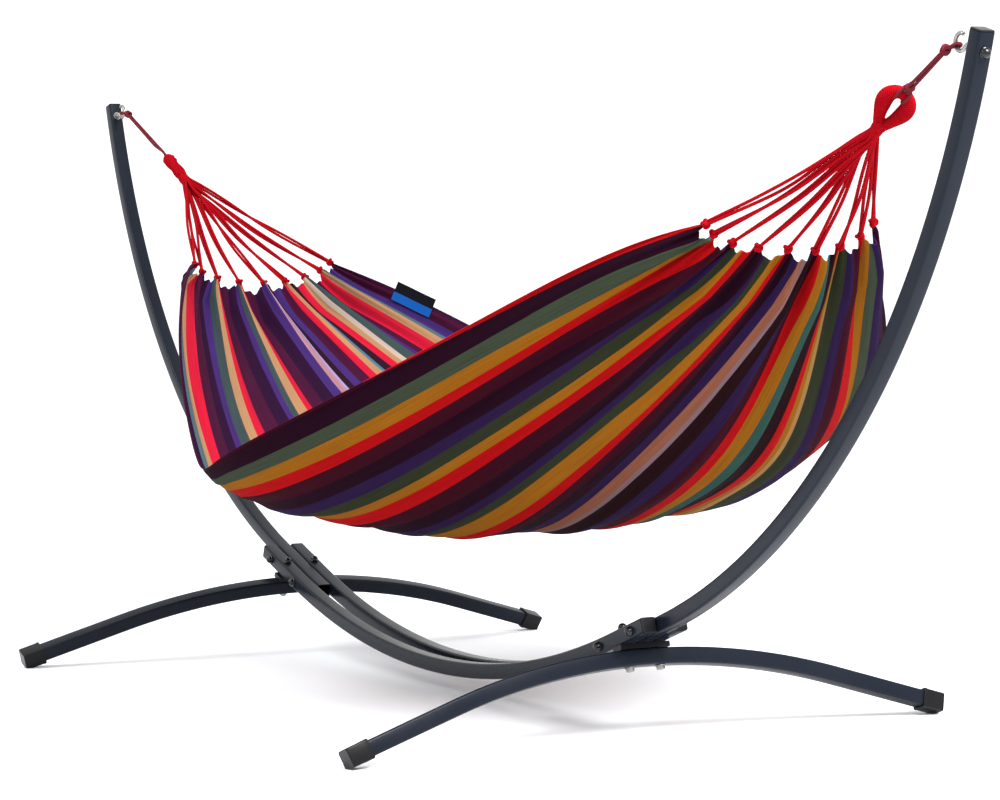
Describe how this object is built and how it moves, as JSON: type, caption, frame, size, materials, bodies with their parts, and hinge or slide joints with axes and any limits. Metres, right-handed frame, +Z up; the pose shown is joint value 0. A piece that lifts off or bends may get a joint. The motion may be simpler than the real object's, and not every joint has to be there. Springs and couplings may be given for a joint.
{
  "type": "hammock on stand",
  "caption": "Free-standing arched steel tube stand with bent posts and crossing arched feet; a striped cotton hammock hangs from ring hooks by doubled ropes and fanned strings.",
  "frame": {"origin": "on the floor, midway between the two posts and midway between the ends of the feet", "axes": "+X along the hammock towards its right end, +Y across it, +Z up"},
  "size_m": [3.2968, 1.1648, 1.1399],
  "materials": {
    "frame": "smooth glossy dark anthracite powder coat",
    "plastic": "moulded black, slightly satin",
    "zinc": "bright zinc plating",
    "rope": "braided dark burgundy synthetic rope",
    "cord": "twisted bright red cotton",
    "fabric": "woven cotton with many lengthwise stripes"
  },
  "bodies": {
    "stand": {"front_lower_rail": "frame", "rear_lower_rail": "frame", "left_post": "frame", "right_post": "frame", "left_foot": "frame", "right_foot": "frame", "left_post_cap": "plastic", "right_post_cap": "plastic", "left_foot_saddle": "plastic", "right_foot_saddle": "plastic", "left_foot_front_boot": "plastic", "left_foot_rear_boot": "plastic", "right_foot_front_boot": "plastic", "right_foot_rear_boot": "plastic", "left_lower_cross_bolt": "zinc", "left_upper_cross_bolt": "zinc", "left_front_foot_bolt": "zinc", "left_rear_foot_bolt": "zinc", "right_lower_cross_bolt": "zinc", "right_upper_cross_bolt": "zinc", "right_front_foot_bolt": "zinc", "right_rear_foot_bolt": "zinc", "left_lower_cross_bolt_nut": "plastic", "left_upper_cross_bolt_nut": "plastic", "left_front_foot_bolt_nut": "plastic", "left_rear_foot_bolt_nut": "plastic", "right_lower_cross_bolt_nut": "plastic", "right_upper_cross_bolt_nut": "plastic", "right_front_foot_bolt_nut": "plastic", "right_rear_foot_bolt_nut": "plastic", "left_hook": "zinc", "right_hook": "zinc", "left_hook_nut": "zinc", "right_hook_nut": "zinc", "left_hook_dome_nut": "plastic", "right_hook_dome_nut": "plastic"},
    "hammock": {"left_hanger_rope": "rope", "right_hanger_rope": "rope", "left_eye": "cord", "right_eye": "cord", "left_string_1": "cord", "left_string_2": "cord", "left_string_3": "cord", "left_string_4": "cord", "left_string_5": "cord", "left_string_6": "cord", "left_string_7": "cord", "left_string_8": "cord", "left_string_9": "cord", "right_string_1": "cord", "right_string_2": "cord", "right_string_3": "cord", "right_string_4": "cord", "right_string_5": "cord", "right_string_6": "cord", "right_string_7": "cord", "right_string_8": "cord", "right_string_9": "cord", "hammock_bed": "fabric"}
  },
  "joints": [
    {"name": "hammock_swing", "type": "hinge", "parent": "stand", "child": "hammock", "pos_m": [1.5705, 0, 1.1144], "axis": [1, 0, 0], "range_deg": [-22, 22]}
  ]
}
